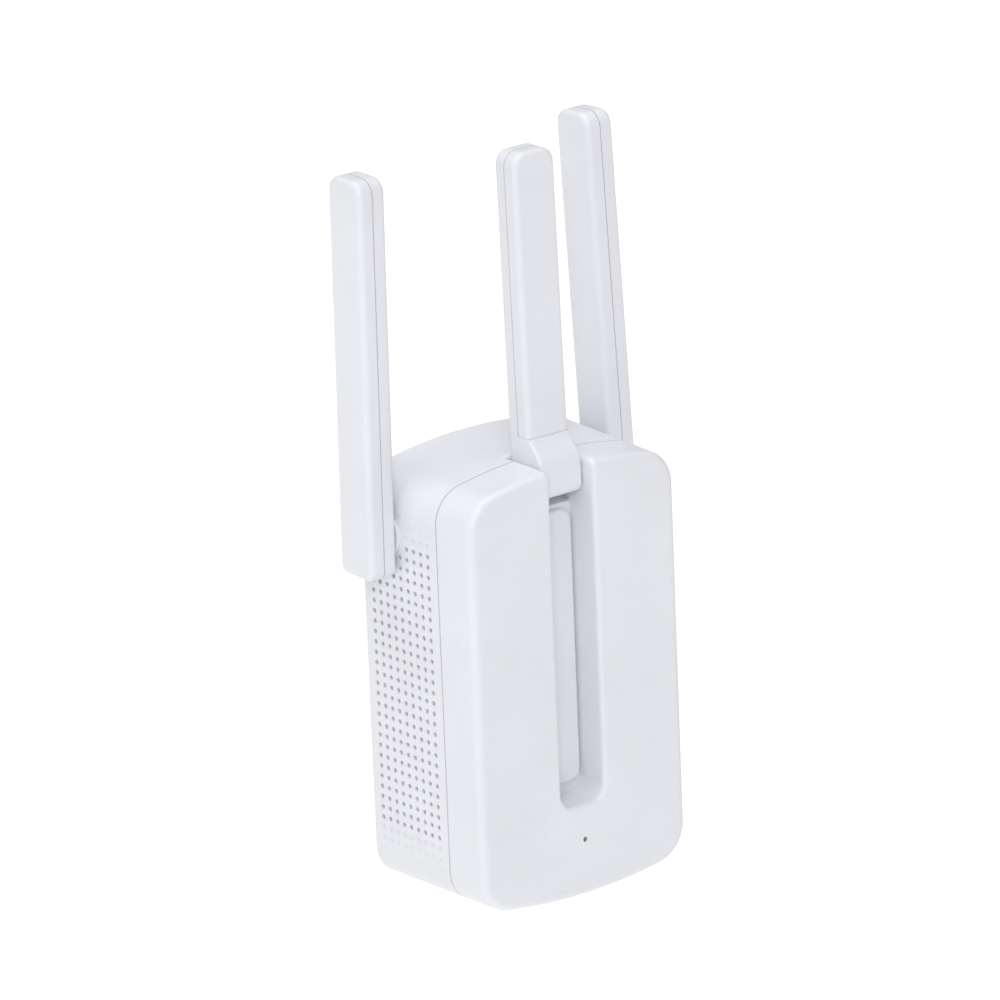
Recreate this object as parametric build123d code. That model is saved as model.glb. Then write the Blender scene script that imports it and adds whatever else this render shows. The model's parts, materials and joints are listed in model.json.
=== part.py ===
from build123d import *
import math
import os

# A plug-in wifi range extender: a crowned white housing that hangs on a wall socket by two
# round pins, with three folding antennas. All sizes are in millimetres.
# Frame: X is right seen from the room, Y points into the wall, Z is up.
# The origin is the middle of the plug, on the flat rear face.

# Housing
HALF_HEIGHT = 53.8
DEPTH = 41.1
REAR_HALF_WIDTH = 31.9
FRONT_HALF_WIDTH = 30.7
TOP_CROWN_RADIUS = 125.0
BOTTOM_CROWN_RADIUS = 145.0
FRONT_CORNER_RADIUS = 9.4
REAR_CORNER_RADIUS = 7.4
FRONT_EDGE_RADIUS = 2.0
REAR_EDGE_RADIUS = 1.5
WALL = 1.8
SEAM_DEPTH = 28.5
SEAM_GAP = 0.24
LIP_OUTER_INSET = 0.95
LIP_CLEARANCE = 0.08
LIP_LENGTH = 2.2
LIP_STEP = 0.15

# Groove in the front that the centre antenna folds into
GROOVE_HALF_WIDTH = 6.4
GROOVE_BOTTOM_Z = -31.0
GROOVE_DEPTH = 9.5
GROOVE_CORNER_RADIUS = 4.0
GROOVE_RIM_RADIUS = 1.2
PLATEAU_HALF_WIDTH = 6.0
PLATEAU_CORNER_RADIUS = 3.6
PLATEAU_BOTTOM_Z = -28.1
PLATEAU_TOP_Z = 40.4
PLATEAU_DEPTH = 8.25
PLATEAU_EDGE_RADIUS = 0.8
TROUGH_RADIUS = 8.6

# Side vents
VENT_PITCH = 2.6
VENT_RADIUS = 0.55
VENT_COLUMNS = 9
VENT_ROWS = 28
VENT_CENTRE_Y = -14.6
VENT_CENTRE_Z = -0.4
DIMPLE_DEPTHS = (0.42, 0.26, 0.15, 0.08)
VENT_KEEP_OUT = 6.7

# Antennas
ANTENNA_BREADTH = 12.2
ANTENNA_THICKNESS = 7.8
ANTENNA_EDGE_RADIUS = 1.4
ANTENNA_TIP_RADIUS = 3.6
ANTENNA_FOOT_RADIUS = 2.4
ANTENNA_WALL = 1.3
PARTING_GAP = 0.14
SPIGOT_HEIGHT = 1.0
SPIGOT_INSET = 0.65
SIDE_ABOVE_HINGE = 88.6
SIDE_BELOW_HINGE = 9.5
CENTRE_ABOVE_HINGE = 78.6
CENTRE_HOLLOW_FROM = 5.0
RADIATOR_WIDTH = 7.4
RADIATOR_THICKNESS = 0.8
PEG_RADIUS = 0.9
SIDE_PEG_HEIGHTS = (12.0, 46.0, 80.0)
CENTRE_PEG_HEIGHTS = (16.0, 44.0, 72.0)

# Side hinges: axis along X, through the sides of the rear housing
SIDE_AXIS_X = 36.35
SIDE_AXIS_Y = -9.1
SIDE_AXIS_Z = 37.2
LEFT_LEAN = -1.0
RIGHT_LEAN = 3.2
SIDE_STUB_RADIUS = 3.6
SIDE_STUB_BORE = 1.5
SIDE_STUB_END_X = 26.3
COLLAR_RADIUS = 6.0
COLLAR_FACE_X = 32.3
INNER_BOSS_RADIUS = 7.0
INNER_BOSS_FACE_X = 28.9
HINGE_RUN = 0.06
WASHER_THICKNESS = 0.8
WASHER_RADIUS = 5.8
CLIP_THICKNESS = 0.8
CLIP_GROOVE_RADIUS = 3.0
CLIP_RADIUS = 5.2
CLIP_MOUTH = 4.4

# Centre hinge: axis along X, across the top of the groove
CENTRE_AXIS_Y = -33.2
CENTRE_AXIS_Z = 50.0
CENTRE_LEAN = 1.3
CENTRE_SETBACK = 3.9
KNUCKLE_HALF_WIDTH = 6.0
KNUCKLE_TOP = 9.4
KNUCKLE_FRONT = 4.25
KNUCKLE_BROW = 4.2
KNUCKLE_DROP = 5.0
KNUCKLE_EDGE_RADIUS = 0.7
CENTRE_STUB_RADIUS = 2.0
CENTRE_STUB_BORE = 0.95
CENTRE_STUB_END_X = 8.5
CENTRE_COAX_STUB_END_X = 10.2
CENTRE_WASHER_X = 6.25
CENTRE_WASHER_THICKNESS = 0.2
CENTRE_WASHER_RADIUS = 3.6
FEED_TAB_WIDTH = 1.6
FEED_TAB_THICKNESS = 0.3

# Plug
PIN_SPACING = 19.0
PIN_RADIUS = 2.4
PIN_ROOT_RADIUS = 1.9
PIN_SHOULDER_DEPTH = 0.05
PIN_LENGTH = 19.0
PIN_FLANGE_RADIUS = 3.0
PIN_FLANGE_THICKNESS = 0.8
INSERT_WIDTH = 34.0
INSERT_HEIGHT = 13.0
INSERT_FLANGE = 2.0
INSERT_GAP = 0.12
INSERT_DEPTH = 3.6
PIN_TAIL_RADIUS = 0.8

# Fixings
HOUSING_SCREW_X = 22.5
HOUSING_SCREW_Z = 43.6
HOUSING_BOSS_RADIUS = 3.3
HOUSING_BOSS_JOINT_Y = -12.0
SCREW_SEAT_Y = -9.0
SCREW_HEAD_RADIUS = 2.3
SCREW_HEAD_HEIGHT = 1.5
SCREW_SHANK_RADIUS = 1.2
SCREW_LENGTH = 12.0
PILOT_RADIUS = 1.22

# Boards
MAIN_BOARD_REAR_Y = -26.4
MAIN_BOARD_THICKNESS = 1.2
MAIN_BOARD_HALF_WIDTH = 26.5
MAIN_BOARD_TOP = 38.6
MAIN_BOARD_BOTTOM = -47.0
MAIN_POST_X = 22.0
MAIN_POST_Z = (31.0, -33.0)
POWER_BOARD_REAR_Y = -6.0
POWER_BOARD_THICKNESS = 1.6
POWER_BOARD_HALF_WIDTH = 20.0
POWER_BOARD_TOP = 16.0
POWER_BOARD_BOTTOM = -40.0
POWER_POST_X = 16.5
POWER_POST_Z = (12.5, -36.5)
BOARD_SCREW_RADIUS = 1.0
BOARD_SCREW_HEAD_RADIUS = 1.9
BOARD_SCREW_HEAD_HEIGHT = 1.3
POST_RADIUS = 2.6
SEAT_GAP = 0.02

# Parts on the power board; places are X and Z
BULK_CAN_RADIUS = 4.2
BULK_CAN_HEIGHT = 12.0
BULK_CAN_PLACES = ((13.8, -10.0), (13.8, -20.0))
OUTPUT_CAN_RADIUS = 3.1
OUTPUT_CAN_HEIGHT = 10.0
OUTPUT_CAN_PLACES = ((-13.5, -13.0), (-13.5, -21.0))
FUSE_RADIUS = 1.6
FUSE_LENGTH = 8.0
TRANSFORMER_Z = -20.0
TRANSFORMER_HEIGHT = 11.0
CORE_HALF_WIDTH = 7.5
CORE_HALF_LENGTH = 6.0
CORE_LEG_HALF_WIDTH = 2.2
COIL_HALF_LENGTH = 9.0

# Parts on the main board
SHIELD_WIDTH = 34.0
SHIELD_HEIGHT = 28.0
SHIELD_DEPTH = 2.6
SHIELD_SHEET = 0.3
SPREADER_WIDTH = 38.0
SPREADER_HEIGHT = 32.0
SPREADER_DEPTH = 1.5
SPREADER_GROOVES = 9
SPREADER_PITCH = 4.0
RADIO_Z = 4.0
SHEET_DEPTH = 4.9
SHEET_THICKNESS = 0.25
LINK_X = (-16.0, -8.0)
LINK_Z = (-34.6, -31.4)

# Status light and button
LED_Z = -39.6
LED_HOLE_RADIUS = 0.62
PIPE_RADIUS = 1.5
BUTTON_Y = -32.8
BUTTON_Z = -25.0
BUTTON_WIDTH = 4.6
BUTTON_LENGTH = 11.0
BUTTON_PROUD = 0.5
BUTTON_GAP = 0.12
STEM_END_X = 25.5
SWITCH_Y = -30.4
SWITCH_FACE_X = 24.4
SWITCH_WIDTH = 4.5
SWITCH_DEPTH = 3.8
SWITCH_PLUNGER_RADIUS = 0.9

MAIN_BOARD_FRONT_Y = MAIN_BOARD_REAR_Y - MAIN_BOARD_THICKNESS
POWER_BOARD_FRONT_Y = POWER_BOARD_REAR_Y - POWER_BOARD_THICKNESS
DRAFT = (REAR_HALF_WIDTH - FRONT_HALF_WIDTH) / DEPTH
GROOVE_FLOOR_Y = -DEPTH + GROOVE_DEPTH
PLATEAU_Y = -DEPTH + PLATEAU_DEPTH

# Internal coax leads
COAX_RADIUS = 0.565
SOCKET_SIZE = 2.6
SOCKET_DEPTH = 1.66
SOCKET_NECK_TOP = 2.3
LEAD_END = SOCKET_NECK_TOP + 0.15
SIDE_SOCKET = (14.0, MAIN_BOARD_REAR_Y + 0.85, 30.0)
CENTRE_SOCKET = (14.0, MAIN_BOARD_FRONT_Y - 0.85, 24.0)


# ---------------------------------------------------------------- helpers

def block(x0, x1, y0, y1, z0, z1):
    """A box given by its limits."""
    size = Box(x1 - x0, y1 - y0, z1 - z0)
    return Pos((x0 + x1) / 2, (y0 + y1) / 2, (z0 + z1) / 2) * size


def rod_x(x0, x1, y, z, radius):
    """A round bar along X."""
    return Pos((x0 + x1) / 2, y, z) * Rot(0, 90, 0) * Cylinder(radius, abs(x1 - x0))


def rod_y(x, y0, y1, z, radius):
    """A round bar along Y."""
    return Pos(x, (y0 + y1) / 2, z) * Rot(90, 0, 0) * Cylinder(radius, abs(y1 - y0))


def rounded_plate(width, height, radius, y0, y1, x=0.0, z=0.0):
    """A plate with round corners that faces along Y."""
    face = Plane.XZ.offset(-max(y0, y1)) * Pos(x, z) * RectangleRounded(width, height, radius)
    return extrude(face, abs(y1 - y0))


def slot_plate(length, width, y0, y1, x=0.0, z=0.0):
    """A plate with full round ends, long in X, that faces along Y."""
    face = Plane.XZ.offset(-max(y0, y1)) * Pos(x, z) * SlotOverall(length, width)
    return extrude(face, abs(y1 - y0))


def mirrored(shape):
    """The same shape on the other side of the middle plane."""
    return mirror(shape, about=Plane.YZ)


def half_width_at(depth):
    """Half the housing's width at this depth from the rear face."""
    return REAR_HALF_WIDTH - DRAFT * depth


# ---------------------------------------------------------------- housing form

def corner_radius_at(depth):
    """The radius of the housing's four long corners at this depth from the rear face."""
    return REAR_CORNER_RADIUS + (FRONT_CORNER_RADIUS - REAR_CORNER_RADIUS) * depth / DEPTH


def crown_drop(radius, half):
    """How far a crown has dropped at this distance from the middle."""
    return radius - math.sqrt(radius * radius - half * half)


def housing_outline(depth, inset=0.0):
    """The outline of the housing in a plane parallel to the wall."""
    half = half_width_at(depth) - inset
    top = HALF_HEIGHT - inset
    side_top = top - crown_drop(TOP_CROWN_RADIUS - inset, half)
    side_bottom = -top + crown_drop(BOTTOM_CROWN_RADIUS - inset, half)
    edges = [
        ThreePointArc((-half, side_top), (0, top), (half, side_top)),
        Line((half, side_top), (half, side_bottom)),
        ThreePointArc((half, side_bottom), (0, -top), (-half, side_bottom)),
        Line((-half, side_bottom), (-half, side_top)),
    ]
    face = make_face(edges)
    face = fillet(face.vertices(), corner_radius_at(depth) - inset)
    return Plane.XZ.offset(depth) * face


def housing_form():
    """The outside of the closed housing, before the groove is cut."""
    form = loft([housing_outline(0), housing_outline(DEPTH)], ruled=True)
    front = form.edges().group_by(Axis.Y)[0]
    form = fillet(front, FRONT_EDGE_RADIUS)
    rear = form.edges().group_by(Axis.Y)[-1]
    return fillet(rear, REAR_EDGE_RADIUS)


def groove_space(grow):
    """The groove in the front face, made larger all round by grow."""
    half = GROOVE_HALF_WIDTH + grow
    bottom = GROOVE_BOTTOM_Z - grow
    top = HALF_HEIGHT + 5
    face = Pos(0, (top + bottom) / 2) * Rectangle(2 * half, top - bottom)
    corners = face.vertices().group_by(Axis.Y)[0]
    face = fillet(corners, GROOVE_CORNER_RADIUS + grow)
    depth = GROOVE_DEPTH + grow + 5
    return extrude(Plane.XZ.offset(DEPTH + 5) * face, -depth)


def trough_space(grow):
    """The round trough that the centre antenna's knuckle turns in."""
    half = GROOVE_HALF_WIDTH + grow
    radius = TROUGH_RADIUS + grow
    drum = rod_x(-half, half, CENTRE_AXIS_Y, CENTRE_AXIS_Z, radius)
    front = CENTRE_AXIS_Y - radius
    back = CENTRE_AXIS_Y + radius
    return drum + block(-half, half, front, back, CENTRE_AXIS_Z, HALF_HEIGHT + 5)


def groove_plateau():
    """The raised panel on the groove's floor."""
    height = PLATEAU_TOP_Z - PLATEAU_BOTTOM_Z
    middle = (PLATEAU_TOP_Z + PLATEAU_BOTTOM_Z) / 2
    width = 2 * PLATEAU_HALF_WIDTH
    start = GROOVE_FLOOR_Y + 0.4
    plate = rounded_plate(width, height, PLATEAU_CORNER_RADIUS, start, PLATEAU_Y, 0, middle)
    return fillet(plate.edges().group_by(Axis.Y)[0], PLATEAU_EDGE_RADIUS)


def groove_rim(solid):
    """The edges where the groove meets the front face and the top."""
    rim = []
    for edge in solid.edges():
        centre = edge.center()
        box = edge.bounding_box()
        on_side = abs(abs(centre.X) - GROOVE_HALF_WIDTH) < 0.05
        on_front = centre.Y < -DEPTH + 0.01 and abs(centre.X) < GROOVE_HALF_WIDTH + 0.05
        high = centre.Z > HALF_HEIGHT - 3
        runs_back = box.size.Y > 0.5 and box.size.Z < 3
        behind_knuckle = abs(centre.X) < 0.1 and centre.Z > HALF_HEIGHT - 1
        if on_front or (on_side and high and runs_back) or behind_knuckle:
            rim.append(edge)
    return rim


def housing_shell():
    """The whole housing's wall, before it is split into its two mouldings."""
    solid = housing_form() - groove_space(0) - trough_space(0)
    solid = fillet(groove_rim(solid), GROOVE_RIM_RADIUS)
    solid = solid + groove_plateau()
    outer = housing_outline(WALL, WALL)
    inner = housing_outline(DEPTH - WALL, WALL)
    hollow = loft([outer, inner], ruled=True)
    hollow = hollow - groove_space(WALL) - trough_space(WALL)
    return solid - hollow


# ---------------------------------------------------------------- front cover

def seam_lip():
    """The lip on the front cover that fits inside the rear housing."""
    start = SEAM_DEPTH + 1.2
    inside = housing_outline(SEAM_DEPTH, WALL + LIP_STEP)
    ring = housing_outline(SEAM_DEPTH, LIP_OUTER_INSET) - inside
    ring = Pos(0, -(start - SEAM_DEPTH), 0) * ring
    lip = extrude(ring, start - SEAM_DEPTH + LIP_LENGTH, dir=(0, 1, 0))
    return lip - trough_space(WALL + 1.0)


def button_prism(x0, x1, grow):
    """The button's outline, as a prism along X."""
    outline = SlotOverall(BUTTON_LENGTH + 2 * grow, BUTTON_WIDTH + 2 * grow, rotation=90)
    face = Plane.YZ.offset(x0) * Pos(BUTTON_Y, BUTTON_Z) * outline
    return extrude(face, x1 - x0)


def front_cover(shell):
    """The front moulding: front face, groove, ears for the centre hinge, posts."""
    split = -SEAM_DEPTH - SEAM_GAP / 2
    cover = shell & block(-40, 40, -DEPTH - 1, split, -60, 60)
    cover = cover + seam_lip()
    inside = -DEPTH + WALL - 0.5
    for x in (-HOUSING_SCREW_X, HOUSING_SCREW_X):
        for z in (-HOUSING_SCREW_Z, HOUSING_SCREW_Z):
            cover = cover + rod_y(x, inside, HOUSING_BOSS_JOINT_Y, z, HOUSING_BOSS_RADIUS)
            pilot_end = HOUSING_BOSS_JOINT_Y - SCREW_LENGTH
            cover = cover - rod_y(x, pilot_end, 0, z, PILOT_RADIUS)
    for x in (-MAIN_POST_X, MAIN_POST_X):
        for z in MAIN_POST_Z:
            cover = cover + rod_y(x, inside, MAIN_BOARD_FRONT_Y, z, POST_RADIUS)
            cover = cover - rod_y(x, MAIN_BOARD_FRONT_Y - 6.5, 0, z, BOARD_SCREW_RADIUS + 0.02)
    tube = rod_y(0, inside, -33.0, LED_Z, POST_RADIUS)
    cover = cover + tube - rod_y(0, -DEPTH + WALL, -30, LED_Z, PIPE_RADIUS + 0.05)
    cover = cover - rod_y(0, -DEPTH - 1, -30, LED_Z, LED_HOLE_RADIUS)
    ear_hole = CENTRE_STUB_RADIUS + HINGE_RUN
    cover = cover - rod_x(-12, 12, CENTRE_AXIS_Y, CENTRE_AXIS_Z, ear_hole)
    return cover - button_prism(25, 35, BUTTON_GAP)


# ---------------------------------------------------------------- rear housing

def vent_place(column, row):
    """Y and Z of one vent hole."""
    y = VENT_CENTRE_Y + (VENT_COLUMNS - 1) / 2 * VENT_PITCH - column * VENT_PITCH
    z = VENT_CENTRE_Z + (row - (VENT_ROWS - 1) / 2) * VENT_PITCH
    return y, z


def near_hinge(y, z):
    """True where the hinge collar leaves no room for a hole."""
    return math.hypot(y - SIDE_AXIS_Y, z - SIDE_AXIS_Z) < VENT_KEEP_OUT


def vent_holes():
    """The grid of holes through the left side wall."""
    holes = []
    for column in range(VENT_COLUMNS):
        for row in range(VENT_ROWS):
            y, z = vent_place(column, row)
            if not near_hinge(y, z):
                holes.append(rod_x(-36, -27, y, z, VENT_RADIUS))
    return holes


def vent_dimples():
    """Rows of ever shallower dimples that fade the grid out at both ends."""
    dimples = []
    for column in range(VENT_COLUMNS):
        for step, depth in enumerate(DIMPLE_DEPTHS):
            for row in (-1 - step, VENT_ROWS + step):
                y, z = vent_place(column, row)
                if near_hinge(y, z):
                    continue
                ball = (VENT_RADIUS * VENT_RADIUS + depth * depth) / (2 * depth)
                surface = half_width_at(-y)
                dimples.append(Pos(-surface - ball + depth, y, z) * Sphere(ball))
    return dimples


def side_hinge_seat():
    """The collar outside and the boss inside the wall, around the left hinge's hole."""
    wall_x = half_width_at(-SIDE_AXIS_Y)
    collar = rod_x(-COLLAR_FACE_X, -wall_x + 1, SIDE_AXIS_Y, SIDE_AXIS_Z, COLLAR_RADIUS)
    boss = rod_x(-wall_x + 1, -INNER_BOSS_FACE_X, SIDE_AXIS_Y, SIDE_AXIS_Z, INNER_BOSS_RADIUS)
    return collar + boss


def rear_housing(shell):
    """The rear moulding: vented sides, back, hinge seats and screw bosses."""
    split = -SEAM_DEPTH + SEAM_GAP / 2
    housing = shell & block(-40, 40, split, 1, -60, 60)
    rebate = housing_outline(SEAM_DEPTH, LIP_OUTER_INSET - LIP_CLEARANCE)
    rebate = extrude(rebate, LIP_LENGTH + 0.15, dir=(0, 1, 0)) - trough_space(WALL)
    housing = housing - rebate
    holes = vent_holes()
    holes = holes + vent_dimples()
    housing = housing - holes
    housing = housing - [mirrored(hole) for hole in holes]
    bore = rod_x(-40, -20, SIDE_AXIS_Y, SIDE_AXIS_Z, SIDE_STUB_RADIUS + HINGE_RUN)
    housing = housing + side_hinge_seat() + mirrored(side_hinge_seat())
    housing = housing - bore - mirrored(bore)
    for x in (-HOUSING_SCREW_X, HOUSING_SCREW_X):
        for z in (-HOUSING_SCREW_Z, HOUSING_SCREW_Z):
            joint = HOUSING_BOSS_JOINT_Y + 0.05
            housing = housing + rod_y(x, joint, -WALL + 0.5, z, HOUSING_BOSS_RADIUS + 1)
            housing = housing - rod_y(x, joint - 1, 1, z, SCREW_SHANK_RADIUS + 0.25)
            housing = housing - rod_y(x, SCREW_SEAT_Y, 1, z, SCREW_HEAD_RADIUS + 0.6)
    for x in (-POWER_POST_X, POWER_POST_X):
        for z in POWER_POST_Z:
            housing = housing + rod_y(x, POWER_BOARD_REAR_Y, -WALL + 0.5, z, POST_RADIUS)
            housing = housing - rod_y(x, -20, -1, z, BOARD_SCREW_RADIUS + 0.02)
    width = INSERT_WIDTH + 2 * INSERT_GAP
    height = INSERT_HEIGHT + 2 * INSERT_GAP
    return housing - slot_plate(width, height, 1, -WALL - 1)


# ---------------------------------------------------------------- plug

def plug_insert():
    """The insulating block that carries the pins, flush with the rear face."""
    face = slot_plate(INSERT_WIDTH, INSERT_HEIGHT, 0, -WALL - 0.5)
    width = INSERT_WIDTH + 2 * INSERT_FLANGE
    height = INSERT_HEIGHT + 2 * INSERT_FLANGE
    flange = slot_plate(width, height, -WALL - 0.06, -INSERT_DEPTH)
    foot_end = POWER_BOARD_REAR_Y + 0.4
    foot = slot_plate(INSERT_WIDTH - 6, INSERT_HEIGHT - 4, -INSERT_DEPTH + 0.1, foot_end)
    insert = face + flange + foot
    flange_end = -INSERT_DEPTH - PIN_FLANGE_THICKNESS - 0.05
    shoulder_seat = -PIN_SHOULDER_DEPTH - SEAT_GAP
    for x in (-PIN_SPACING / 2, PIN_SPACING / 2):
        insert = insert - rod_y(x, shoulder_seat, 1, 0, PIN_RADIUS + 0.05)
        insert = insert - rod_y(x, flange_end, -INSERT_DEPTH, 0, PIN_FLANGE_RADIUS + 0.05)
        insert = insert - rod_y(x, -10, 1, 0, PIN_ROOT_RADIUS + 0.05)
    return insert


def plug_pins():
    """Two round pins, each with a thin flanged root in the insert and a tail in the board."""
    pins = []
    root_end = POWER_BOARD_REAR_Y + 0.5
    tail_end = POWER_BOARD_FRONT_Y - 1.2
    for x in (-PIN_SPACING / 2, PIN_SPACING / 2):
        pin = rod_y(x, -PIN_SHOULDER_DEPTH, PIN_LENGTH, 0, PIN_RADIUS)
        pin = fillet(pin.edges().group_by(Axis.Y)[-1], PIN_RADIUS * 0.6)
        flange_start = -INSERT_DEPTH - PIN_FLANGE_THICKNESS
        pin = pin + rod_y(x, flange_start, -INSERT_DEPTH - 0.02, 0, PIN_FLANGE_RADIUS)
        pin = pin + rod_y(x, root_end, 1, 0, PIN_ROOT_RADIUS)
        pins.append(pin + rod_y(x, tail_end, root_end + 0.1, 0, PIN_TAIL_RADIUS))
    return Compound(pins)


# ---------------------------------------------------------------- antennas

def antenna_prism(inset, z0, z1, above, below):
    """The outline of an antenna's broad face, as a prism across its thickness."""
    height = above + below - 2 * inset
    face = Pos(0, (above - below) / 2) * Rectangle(ANTENNA_BREADTH - 2 * inset, height)
    face = fillet(face.vertices().group_by(Axis.Y)[-1], ANTENNA_TIP_RADIUS - inset)
    face = fillet(face.vertices().group_by(Axis.Y)[0], ANTENNA_FOOT_RADIUS - inset)
    return extrude(Plane.XY.offset(z0) * face, z1 - z0)


def antenna_blade(middle, above, below):
    """The outside of an antenna's blade, with soft long edges."""
    z0 = middle - ANTENNA_THICKNESS / 2
    z1 = middle + ANTENNA_THICKNESS / 2
    blade = antenna_prism(0, z0, z1, above, below)
    rims = blade.edges().group_by(Axis.Z)
    return fillet(rims[0] + rims[-1], ANTENNA_EDGE_RADIUS)


def antenna_hollow(middle, above, below):
    """The hollow inside the blade."""
    half = ANTENNA_THICKNESS / 2 - ANTENNA_WALL
    return antenna_prism(ANTENNA_WALL, middle - half, middle + half, above, below)


def spigot(middle, above, below, grow):
    """The rim inside the parting line that keys one half shell into the other."""
    top = middle + SPIGOT_HEIGHT + grow
    ring = antenna_prism(SPIGOT_INSET - grow, middle - 1.0, top, above, below)
    return ring - antenna_prism(ANTENNA_WALL, middle - 2, top + 1, above, below)


def lean_back(shape, axis_y, axis_z, degrees):
    """Tilts an upright antenna towards the wall, about its hinge."""
    return Pos(0, axis_y, axis_z) * Rot(-degrees, 0, 0) * Pos(0, -axis_y, -axis_z) * shape


def side_place(side):
    """The frame of a side antenna: x across, y up, z away from the housing."""
    origin = (side * SIDE_AXIS_X, SIDE_AXIS_Y, SIDE_AXIS_Z)
    return Plane(origin=origin, x_dir=(0, side, 0), z_dir=(side, 0, 0))


def half_shells(shell, middle, above, below):
    """Parts a hollow blade at its parting line, with a spigot on the lower half."""
    half = PARTING_GAP / 2
    reach = above + 20
    upper = shell & (Pos(0, 0, middle + half + 10) * Box(40, 2 * reach, 20))
    upper = upper - spigot(middle, above, below, 0.05)
    lower = shell & (Pos(0, 0, middle - half - 10) * Box(40, 2 * reach, 20))
    return upper, lower + spigot(middle, above, below, 0)


def side_hinge_stub(clip_middle):
    """The hollow stub that carries a side antenna, grooved for its clip."""
    end = SIDE_STUB_END_X - SIDE_AXIS_X
    start = -ANTENNA_THICKNESS / 2 + 0.6
    stub = Pos(0, 0, (start + end) / 2) * Cylinder(SIDE_STUB_RADIUS, start - end)
    groove = Cylinder(SIDE_STUB_RADIUS + 1, CLIP_THICKNESS + 0.1) - Cylinder(CLIP_GROOVE_RADIUS, 5)
    return stub - Pos(0, 0, clip_middle) * groove


def hinge_clip(clip_middle):
    """The open spring clip that keeps a side antenna's stub in the housing."""
    ring = Cylinder(CLIP_RADIUS, CLIP_THICKNESS) - Cylinder(CLIP_GROOVE_RADIUS + 0.02, 5)
    return Pos(0, 0, clip_middle) * (ring - Pos(0, -5, 0) * Box(CLIP_MOUTH, 10, 5))


def antenna_peg(y, middle):
    """A peg inside a half shell that the radiator board rests on."""
    low = middle - ANTENNA_THICKNESS / 2 + 1
    high = middle - RADIATOR_THICKNESS / 2 - SEAT_GAP
    return Pos(0, y, (low + high) / 2) * Cylinder(PEG_RADIUS, high - low)


def radiator_board(y0, y1, middle):
    """The printed aerial inside the antenna."""
    face = Pos(0, (y0 + y1) / 2) * RectangleRounded(RADIATOR_WIDTH, y1 - y0, 0.8)
    return extrude(Plane.XY.offset(middle - RADIATOR_THICKNESS / 2) * face, RADIATOR_THICKNESS)


def side_antenna(side, lean):
    """The four pieces of a side antenna, upright in its own frame and then leant."""
    above, below = SIDE_ABOVE_HINGE, SIDE_BELOW_HINGE
    shell = antenna_blade(0, above, below) - antenna_hollow(0, above, below)
    outer, inner = half_shells(shell, 0, above, below)
    clip_face = INNER_BOSS_FACE_X - WASHER_THICKNESS - 0.1 - SIDE_AXIS_X
    clip_middle = clip_face - CLIP_THICKNESS / 2
    inner = inner + side_hinge_stub(clip_middle) - Pos(0, 0, -8) * Cylinder(SIDE_STUB_BORE, 12)
    for y in SIDE_PEG_HEIGHTS:
        inner = inner + antenna_peg(y, 0)
    radiator = radiator_board(-2.0, above - 3.0, 0)
    place = side_place(side).location
    pieces = []
    for piece in (outer, inner, radiator, hinge_clip(clip_middle)):
        pieces.append(lean_back(place * piece, SIDE_AXIS_Y, SIDE_AXIS_Z, lean))
    return pieces


def knuckle():
    """The block at the foot of the centre antenna, round below so that it can turn."""
    back = -CENTRE_SETBACK - ANTENNA_THICKNESS / 2
    front = KNUCKLE_FRONT
    low = -KNUCKLE_DROP
    brow = (front, KNUCKLE_BROW)
    corners = [(back, 1.2), (0, KNUCKLE_TOP), brow, (front, low), (back, low)]
    face = make_face(Polyline(*corners, close=True))
    for place, radius in ((brow, 4.0), ((front, low), 2.4), ((back, low), KNUCKLE_DROP - 0.02)):
        corner = face.vertices().sort_by_distance((*place, 0))[0]
        face = fillet(corner, radius)
    side = Plane(origin=(-KNUCKLE_HALF_WIDTH, 0, 0), x_dir=(0, 0, 1), z_dir=(-1, 0, 0))
    body = extrude(side * face, -2 * KNUCKLE_HALF_WIDTH)
    rims = []
    for edge in body.edges():
        centre = edge.center()
        inside_blade = centre.Z < 0 and centre.Y > 2
        if abs(abs(centre.X) - KNUCKLE_HALF_WIDTH) < 0.01 and not inside_blade:
            rims.append(edge)
    return fillet(rims, KNUCKLE_EDGE_RADIUS)


def centre_antenna():
    """The pieces of the centre antenna, upright in its own frame and then leant."""
    above, below = CENTRE_ABOVE_HINGE, ANTENNA_EDGE_RADIUS
    middle = -CENTRE_SETBACK
    form = antenna_blade(middle, above, below) + knuckle()
    shell = form - antenna_hollow(middle, above, -CENTRE_HOLLOW_FROM)
    lid_foot = KNUCKLE_TOP + 0.05
    over_lid = Pos(0, lid_foot + 50, middle) * Box(40, 100, 40)
    front, lower = half_shells(shell, middle, above, below)
    front = front & over_lid
    rear = (shell - over_lid) + (lower & over_lid)
    rear = rear + rod_x(-CENTRE_STUB_END_X, 0, 0, 0, CENTRE_STUB_RADIUS)
    rear = rear + rod_x(0, CENTRE_COAX_STUB_END_X, 0, 0, CENTRE_STUB_RADIUS)
    rear = rear - rod_x(-1.5, 12, 0, 0, CENTRE_STUB_BORE)
    rear = rear - Pos(0, 3.0, -1.6) * Box(4.2, 7.9, 4.6)
    for y in CENTRE_PEG_HEIGHTS:
        rear = rear + antenna_peg(y, middle)
    radiator = radiator_board(CENTRE_HOLLOW_FROM + 1.7, above - 3.0, middle)
    origin = (0, CENTRE_AXIS_Y, CENTRE_AXIS_Z)
    place = Plane(origin=origin, x_dir=(1, 0, 0), z_dir=(0, -1, 0)).location
    pieces = []
    for piece in (front, rear, radiator, feed_tab()):
        pieces.append(lean_back(place * piece, CENTRE_AXIS_Y, CENTRE_AXIS_Z, CENTRE_LEAN))
    return pieces


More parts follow.
